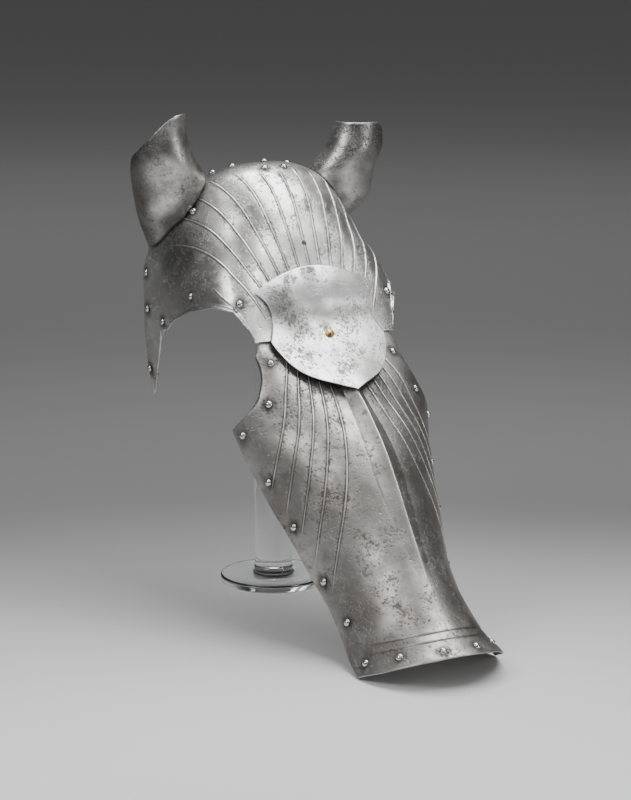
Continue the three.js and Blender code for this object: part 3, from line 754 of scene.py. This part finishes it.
def ear_guard(hand, material):
    angle = np.linspace(0, 2 * math.pi, EAR_SIDES, endpoint=False)
    walls = []
    for inset in (0, TIN):
        foot = ear_foot(hand, angle, inset)
        rim = ear_rim(hand, angle)
        walls.append([ear_point(hand, angle, mix(foot, rim, k / EAR_LEVELS), inset)
                      for k in range(EAR_LEVELS + 1)])
    outer, inner = walls
    lift = np.array((0, 0, 0.35))
    tip = [mix(outer[-1], inner[-1], u) + lift * math.sin(math.pi * u) for u in (0.2, 0.5, 0.8)]
    rings = outer + tip + inner[::-1]
    points, faces = loft(rings, False, hand > 0)
    shape = (len(rings), EAR_SIDES)
    grid = points.reshape(*shape, 3)
    grid = grid + (unit(grid - grid.mean(axis=1, keepdims=True)) * dents(grid, EAR_DENTS)[..., None])
    grid[..., 0] -= hand * DRAWN_SIDE * ease(np.abs(grid[..., 0]), 140, 157)
    grid[..., 1] -= DRAWN_BACK * ease(grid[..., 1], 90, 107)
    side = "right" if hand < 0 else "left"
    piece = new_object(f"armour.ear_guard_{side}", grid.reshape(-1, 3), faces, ear_marks(angle, shape))
    finish_piece(piece, f"ear_guard_{side}", material)


def ear_hole(hand):
    angle = np.linspace(0, 2 * math.pi, 72, endpoint=False)
    rings = [ear_point(hand, angle, np.full(72, float(z)), TIN + HOLE_MARGIN) for z in HOLE_LEVELS]
    points, faces = loft(rings, True, hand > 0)
    return new_object("cutter", points, faces)


def stand_on(points, middle, direction):
    """Points turned so that their own +Z follows the direction, and moved to the middle."""
    turn = np.array(Vector((0, 0, 1)).rotation_difference(Vector(direction)).to_matrix())
    return points @ turn.T + np.asarray(middle)


LACE_HOLE = {"s": 118, "radius": 3, "depth": 20}


def lace_cutter():
    radius = LACE_HOLE["radius"]
    end = LACE_HOLE["depth"] / 2
    points, faces = lathe([(0, -end), (radius, -end), (radius, end), (0, end)], 40)
    middle = base_point(LACE_HOLE["s"], 0)
    return new_object("cutter", stand_on(points, middle, outward(LACE_HOLE["s"], 0)), faces)


# ---------------------------------------------------------------- shield
# Columns: s, h of the middle line, sag at 70 mm from it.
SHIELD_PROFILE = np.array([
    (146, 3, 8), (165, 2.5, 8), (185, -2, 6.5), (205, -9, 4.5), (228, -10.5, 4), (255, -6, 6), (282, 1, 9),
    (309, 10, 12),
])


# Painted shade over its upper part and its hollow. Columns: x, y, z of the middle, radius, strength.
SHIELD_SHADE_SPOTS = [
    (-50, -120, 355, 26, 0.75),
    (-38, -140, 335, 28, 0.7),
    (-8, -108, 382, 16, 0.7),
    (0, -140, 330, 11, 0.9),
]
SHIELD_TOP_HALF = 75
SHIELD_LOW_HALF = 70
SHIELD_WAIST = 12      # how far its sides are drawn in between
SHIELD_DENTS = 0.25


def shield_point(across, down):
    """A point of the shield: across is -1 to 1 from side to side, down is 0 to 1 from top to tip."""
    out = np.abs(across)
    top_edge = mix(147, 171, out**1.8)
    low_edge = mix(309, 229, 0.5 * out + 0.5 * out**6)
    s = mix(top_edge, low_edge, down)
    waist = SHIELD_WAIST * np.sin(math.pi * down**0.85)
    x = across * (mix(SHIELD_TOP_HALF, SHIELD_LOW_HALF, down) - waist)
    return place(x, s, look_up(SHIELD_PROFILE, 1, s) - look_up(SHIELD_PROFILE, 2, s) * (x / 70)**2)


def shield(material):
    across = np.linspace(-1, 1, 141)
    down = np.linspace(0, 1, 111)
    grid = shield_point(across[None, :], down[:, None])
    grid = grid + grid_normals(grid, True) * dents(grid, SHIELD_DENTS)[..., None]
    edge = np.minimum(1 - np.abs(across)[None, :], np.minimum(down, 1 - down)[:, None] * 2)
    # painted highlight round the edge, and painted shade over the upper part and the hollow
    marks = {"highlight": 1 - ease(edge, 0.0, 0.03), "soil_and_shade": shade_spots(grid, SHIELD_SHADE_SPOTS)}
    piece = shell("armour.shield", grid, TIN, True, marks)
    finish_piece(piece, "escutcheon", material)


# ---------------------------------------------------------------- screw, rivets and stand
SCREW_S = 228.0
RIVET_SINK = 0.9       # depth of a rivet head's flat foot below its rim
POST_RADIUS = 21.5
FOOT_RADIUS = 60


def rivets(material):
    dome = [(0, -RIVET_SINK), (RIVET_RADIUS - 0.1, -RIVET_SINK)]
    dome += [(RIVET_RADIUS * math.cos(a), (RIVET_HEIGHT + 0.25) * math.sin(a) - 0.25)
             for a in np.radians([0, 8, 18, 30, 42, 54, 66, 78])]
    dome.append((0, RIVET_HEIGHT))
    points, faces = lathe(dome, 28)
    foot = 1 - ease(points[:, 2], -0.6, 0.3)
    shape = np.random.default_rng(5)
    for node, middle, direction in RIVET_PLACES:
        squeeze = shape.uniform(0.95, 1.0, 3)
        lean = unit(direction + shape.normal(0, 0.04, 3))
        piece = new_object("armour." + node, stand_on(points * squeeze, middle, lean), faces, {"soil_and_shade": foot})
        finish_piece(piece, node, material)


def screw(material):
    head = [(0, -18), (5, -18), (5, -15), (2, -15), (2, 0.5), (4.6, 0.5)]
    head += arc((4.3, 1.4), 0.7, -60, 40, 5) + [(4.3, 2.5), (3.6, 3.2), (2.4, 3.75), (1.2, 3.95), (0, 4)]
    points, faces = lathe(head, 40)
    middle = place(0.0, SCREW_S, look_up(SHIELD_PROFILE, 1, SCREW_S))
    piece = new_object("armour.screw", stand_on(points, middle, outward(SCREW_S, 0)), faces)
    finish_piece(piece, "escutcheon_screw", material)


def stand(clear, black):
    """A round foot, a thin black pad on it and a round post, each as (radius, height) pairs."""
    foot = [(0, 0), (FOOT_RADIUS, 0)] + arc((FOOT_RADIUS, 2), 2, -90, 0, 7)
    foot += arc((59.5, 6.5), 2.5, 0, 90, 9) + [(30, 9), (0, 9)]
    pad = [(0, 9.4), (23, 9.4)] + arc((23.2, 10.2), 0.8, -90, 0, 5) + arc((23.2, 11.1), 0.8, 0, 90, 5)
    pad += [(12, 11.9), (0, 11.9)]
    post = [(0, 12.3), (21.6, 12.3), (22.4, 12.9), (22.6, 14.5), (22.6, 17.2), (22.2, 18.2)]
    post += [(POST_RADIUS, z) for z in (18.6, 60, 160, 260, 360, 440)]
    post += arc((11.5, 468), 10, 0, 90, 12) + [(5, 478), (0, 478)]
    rows = (
        ("stand.foot", foot, "stand_foot", "acrylic", clear),
        ("stand.pad", pad, "post_pad", "pad_black", black),
        ("stand.post", post, "stand_post", "acrylic", clear),
    )
    for name, profile, node, slot, material in rows:
        points, faces = lathe(profile, 128)
        piece = new_object(name, points, faces)
        piece.data.set_sharp_from_angle(angle=math.radians(40))
        finish_piece(piece, node, material)


# ---------------------------------------------------------------- materials
class Nodes:
    """A material's node tree, with short ways to add and join nodes."""

    def __init__(self, name):
        self.material = bpy.data.materials.new(name)
        self.material.use_nodes = True
        self.tree = self.material.node_tree
        self.tree.nodes.clear()
        self.shader = self.tree.nodes.new("ShaderNodeBsdfPrincipled")
        end = self.tree.nodes.new("ShaderNodeOutputMaterial")
        self.tree.links.new(self.shader.outputs["BSDF"], end.inputs["Surface"])

    def feed(self, socket, value):
        if isinstance(value, bpy.types.NodeSocket):
            self.tree.links.new(value, socket)
        else:
            socket.default_value = value

    def add(self, kind, inputs, **settings):
        node = self.tree.nodes.new(kind)
        for key, value in settings.items():
            setattr(node, key, value)
        for key, value in inputs.items():
            self.feed(node.inputs[key], value)
        return node

    def mark(self, name):
        """A value kept on the mesh's points."""
        return self.add("ShaderNodeAttribute", {}, attribute_name=name).outputs["Fac"]

    def here(self):
        return self.add("ShaderNodeTexCoord", {}).outputs["Object"]

    def along_face(self, stretch):
        """Object coordinates turned into the face's frame and drawn out along it."""
        turned = self.add("ShaderNodeMapping", {"Vector": self.here(), "Rotation": (-TILT, 0, 0),
                                                "Scale": (1, stretch, 1)})
        return turned.outputs["Vector"]

    def noise(self, where, scale, detail=4.0, rough=0.6):
        inputs = {"Vector": where, "Scale": scale, "Detail": detail, "Roughness": rough}
        return self.add("ShaderNodeTexNoise", inputs).outputs["Fac"]

    def spread(self, value, low, high, to_low=0.0, to_high=1.0, shape="LINEAR"):
        inputs = {"Value": value, "From Min": low, "From Max": high, "To Min": to_low, "To Max": to_high}
        return self.add("ShaderNodeMapRange", inputs, interpolation_type=shape).outputs["Result"]

    def maths(self, kind, a, b, clamp=False):
        return self.add("ShaderNodeMath", {0: a, 1: b}, operation=kind, use_clamp=clamp).outputs[0]

    def add_share(self, value, share, base):
        """base and a share of value."""
        inputs = {0: value, 1: share, 2: base}
        return self.add("ShaderNodeMath", inputs, operation="MULTIPLY_ADD").outputs[0]

    def blend(self, factor, a, b):
        return self.add("ShaderNodeMix", {0: factor, 6: a, 7: b}, data_type="RGBA").outputs[2]

    def cover(self, tone, mark, share, over):
        """A tone covered by another where the mark is, up to a share of it."""
        return self.blend(self.maths("MULTIPLY", mark, share, clamp=True), tone, over)

    def bump(self, height, distance):
        return self.add("ShaderNodeBump", {"Height": height, "Distance": distance}).outputs["Normal"]

    def set(self, **inputs):
        for key, value in inputs.items():
            self.feed(self.shader.inputs[key.replace("_", " ")], value)
        return self.material


def shade(value, warm=0.0):
    """A grey, made browner by warm."""
    return (value * (1 + warm), value, value * (1 - warm), 1.0)


def pits(n, where, density):
    """Dark pits of two sizes that grow and join where the density is high."""
    crowd = n.maths("MULTIPLY", density, 0.17)
    large = n.maths("ADD", n.noise(where, 170, 2.5, 0.55), crowd)
    small = n.maths("ADD", n.noise(where, 360, 3, 0.6), crowd)
    return n.maths("MAXIMUM", n.spread(large, 0.66, 0.8, 0.0, 0.7), n.spread(small, 0.64, 0.76, 0.0, 0.9))


# Columns: light and dull tones, warmth, roughness, wear, stretch of the grain, tone of the stains and of the
# painted shade.
STEELS = {
    "upper steel": (0.92, 0.64, 0.02, 0.31, 0.85, 0.7, 0.04),
    # the lower plate's tones are a darker copy of the upper plate's steel: painted shade
    "lower steel": (0.5, 0.3, 0.06, 0.4, 0.8, 0.65, 0.035),
    "ear steel": (0.66, 0.32, 0.04, 0.34, 0.9, 0.7, 0.03),
    "shield steel": (0.92, 0.66, 0.01, 0.35, 0.9, 0.6, 0.045),
}
HIGHLIGHT_TONE = 0.85     # tone of the painted highlight on ridges and edges


def steel(name):
    """Worn polished steel: cloudy tone, clustered darker pits, soil and painted shade where marked, painted
    shade in the grooves and a painted highlight on ridges and edges.
    """
    light, dull, warm, gloss, worn, stretch, stain = STEELS[name]
    n = Nodes(name)
    where = n.along_face(stretch)
    soil_and_shade = n.mark("soil_and_shade")
    foot = n.mark("foot")
    highlight = n.mark("highlight")
    cloud = n.noise(where, 16, 5, 0.68)
    mottle = n.noise(where, 75, 5, 0.7)
    cluster = n.spread(n.noise(where, 38, 4, 0.62), 0.42, 0.64)
    density = n.add_share(n.mark("near"), 0.55, n.maths("MULTIPLY", cluster, worn))
    density = n.add_share(soil_and_shade, 0.5, density)
    density = n.add_share(highlight, -0.8, density)
    pit = pits(n, where, density)
    stain_and_shade = shade(stain, warm * 2)
    tone = n.blend(n.spread(cloud, 0.38, 0.62), shade(dull, warm), shade(light, warm * 0.5))
    tone = n.blend(n.spread(mottle, 0.46, 0.74, 0.0, 0.6), tone, shade(dull * 0.45, warm * 1.4))
    # soil round the rivets, with painted shade at the poll, on the far flanks, over the shield's hollow and
    # on the ear guards
    tone = n.cover(tone, soil_and_shade, 0.85, shade(stain * 2, warm * 1.6))
    tone = n.cover(tone, pit, 0.7, stain_and_shade)
    # painted shade in the grooves and under the lip's steps
    tone = n.cover(tone, foot, 0.8, stain_and_shade)
    # painted highlight on crests, folds and edges
    tone = n.cover(tone, highlight, 0.6, shade(HIGHLIGHT_TONE, warm * 0.4))
    rough = n.spread(mottle, 0.3, 0.7, gloss - 0.05, gloss + 0.1)
    rough = n.add_share(pit, 0.25, rough)
    rough = n.add_share(soil_and_shade, 0.1, rough)
    metal = n.add_share(pit, -0.6, 1.0)
    height = n.add_share(pit, -0.7, n.maths("MULTIPLY", mottle, 0.35))
    return n.set(Base_Color=tone, Roughness=rough, Metallic=metal, Normal=n.bump(height, 0.0003))


def rivet_steel():
    n = Nodes("rivet steel")
    where = n.along_face(1.0)
    soil_and_shade = n.mark("soil_and_shade")
    grain = n.noise(where, 420, 4, 0.6)
    tone = n.blend(n.spread(grain, 0.56, 0.7), shade(0.72, 0.02), shade(0.2, 0.04))
    tone = n.blend(soil_and_shade, tone, shade(0.05, 0.06))
    rough = n.maths("ADD", n.spread(grain, 0.4, 0.65, 0.16, 0.34), n.maths("MULTIPLY", soil_and_shade, 0.3))
    return n.set(Base_Color=tone, Roughness=rough, Metallic=1.0, Normal=n.bump(grain, 0.0002))


def brass():
    n = Nodes("brass")
    where = n.along_face(1.0)
    grain = n.noise(where, 350, 4, 0.6)
    soil = n.spread(n.noise(where, 120, 3, 0.5), 0.5, 0.68)
    tone = n.blend(soil, (0.78, 0.55, 0.2, 1), (0.24, 0.15, 0.06, 1))
    rough = n.spread(grain, 0.35, 0.65, 0.2, 0.42)
    return n.set(Base_Color=tone, Roughness=rough, Metallic=1.0, Normal=n.bump(grain, 0.0004))


def acrylic():
    """Clear acrylic that casts a light shadow."""
    n = Nodes("clear acrylic")
    film = n.noise(n.here(), 60, 3, 0.5)
    n.shader.inputs["IOR"].default_value = 1.49
    n.shader.inputs["Transmission Weight"].default_value = 1.0
    rough = n.spread(film, 0.4, 0.7, 0.015, 0.05)
    tint = n.blend(film, (0.975, 0.98, 0.98, 1), (0.95, 0.96, 0.96, 1))
    shadow = n.add("ShaderNodeLightPath", {}).outputs["Is Shadow Ray"]
    return n.set(Base_Color=tint, Roughness=rough, Alpha=n.add_share(shadow, -0.8, 1.0))


def black_pad():
    n = Nodes("black pad")
    grain = n.noise(n.here(), 900, 3, 0.6)
    rough = n.spread(grain, 0.3, 0.7, 0.45, 0.65)
    return n.set(Base_Color=n.blend(grain, shade(0.02), shade(0.06)), Roughness=rough,
                 Normal=n.bump(grain, 0.0002))


# The floor is painted pale beside the nose as a pool of light, darker in the middle distance as painted
# shade, and paler again far off as painted light.
FLOOR_LIGHT_POOL_AT = (-0.36, -0.8, 0)
FLOOR_PAINTED_LIGHT = {"near": 0.86, "middle": 0.18, "far": 0.6}


def floor_material():
    n = Nodes("studio floor")
    ahead = n.add("ShaderNodeVectorMath", {0: n.here(), 1: FLOOR_LIGHT_POOL_AT}, operation="DISTANCE")
    away = ahead.outputs["Value"]
    middle = n.spread(away, 0.3, 1.3, shape="SMOOTHSTEP")
    far = n.spread(away, 2.2, 5.0, shape="SMOOTHSTEP")
    # painted pool of light near the nose, painted shade beyond it and painted light far off
    tone = n.blend(middle, shade(FLOOR_PAINTED_LIGHT["near"]), shade(FLOOR_PAINTED_LIGHT["middle"]))
    tone = n.blend(far, tone, shade(FLOOR_PAINTED_LIGHT["far"]))
    n.shader.inputs["Specular IOR Level"].default_value = 0.15
    return n.set(Base_Color=tone, Roughness=0.9)


# ---------------------------------------------------------------- stage, lights and camera
FLOOR_RADIUS = 30000
FLOOR_TOP = -0.2       # just below the stand's foot, which would otherwise share its surface

# In metres and watts. Columns: name, place, where it aims, width and height, power.
LIGHTS = [
    ("overhead", (0.5, -0.05, 2.2), (0, -0.15, 0.3), (2.7, 1.2), 66),
    ("left_high", (-1.65, -0.4, 1.75), (0, -0.15, 0.3), (1.0, 1.2), 20),
    ("front_right", (1.5, -2.25, 0.75), (0, -0.1, 0.35), (0.35, 1.4), 14),
    ("front", (-0.6, -2.4, 2.2), (0, -0.6, 0), (1.2, 0.8), 6),
]
AROUND = 0.1           # tone of the room's even light

# Angles in degrees, lens and sensor in millimetres, distances in metres.
CAMERA = {"turn": -27.2, "rise": 12.4, "away": 2.717, "lens": 112.5, "sensor": 36, "far": 100}
CAMERA_AIM = (-0.03225, -0.17061, 0.25185)


def stage():
    points, faces = lathe([(0, -4), (FLOOR_RADIUS, -4), (FLOOR_RADIUS, FLOOR_TOP), (0, FLOOR_TOP)], 96)
    floor = new_object("studio_floor", points, faces)
    for polygon in floor.data.polygons:
        polygon.use_smooth = False
    floor.data.materials.append(floor_material())


def lights():
    for name, spot, aim, size, power in LIGHTS:
        data = bpy.data.lights.new(name, "AREA")
        data.shape = "RECTANGLE"
        data.size = size[0]
        data.size_y = size[1]
        data.energy = power
        light = bpy.data.objects.new(name, data)
        light.location = spot
        light.rotation_euler = (Vector(aim) - Vector(spot)).to_track_quat("-Z", "Y").to_euler()
        bpy.context.scene.collection.objects.link(light)
    world = bpy.data.worlds.new("studio")
    world.use_nodes = True
    world.node_tree.nodes["Background"].inputs["Color"].default_value = shade(AROUND)
    bpy.context.scene.world = world


def camera():
    turn = math.radians(CAMERA["turn"])
    rise = math.radians(CAMERA["rise"])
    data = bpy.data.cameras.new("camera")
    data.lens = CAMERA["lens"]
    data.sensor_width = CAMERA["sensor"]
    data.clip_end = CAMERA["far"]
    view = bpy.data.objects.new("camera", data)
    back = Vector((math.sin(turn) * math.cos(rise), -math.cos(turn) * math.cos(rise), math.sin(rise)))
    view.location = Vector(CAMERA_AIM) + back * CAMERA["away"]
    view.rotation_euler = (math.pi / 2 - rise, 0, turn)
    bpy.context.scene.collection.objects.link(view)
    bpy.context.scene.camera = view


upper_plate(steel("upper steel"))
lower_plate(steel("lower steel"))
ear_steel = steel("ear steel")
ear_guard(-1, ear_steel)
ear_guard(1, ear_steel)
shield(steel("shield steel"))
rivets(rivet_steel())
screw(brass())
stand(acrylic(), black_pad())
stage()
lights()
camera()
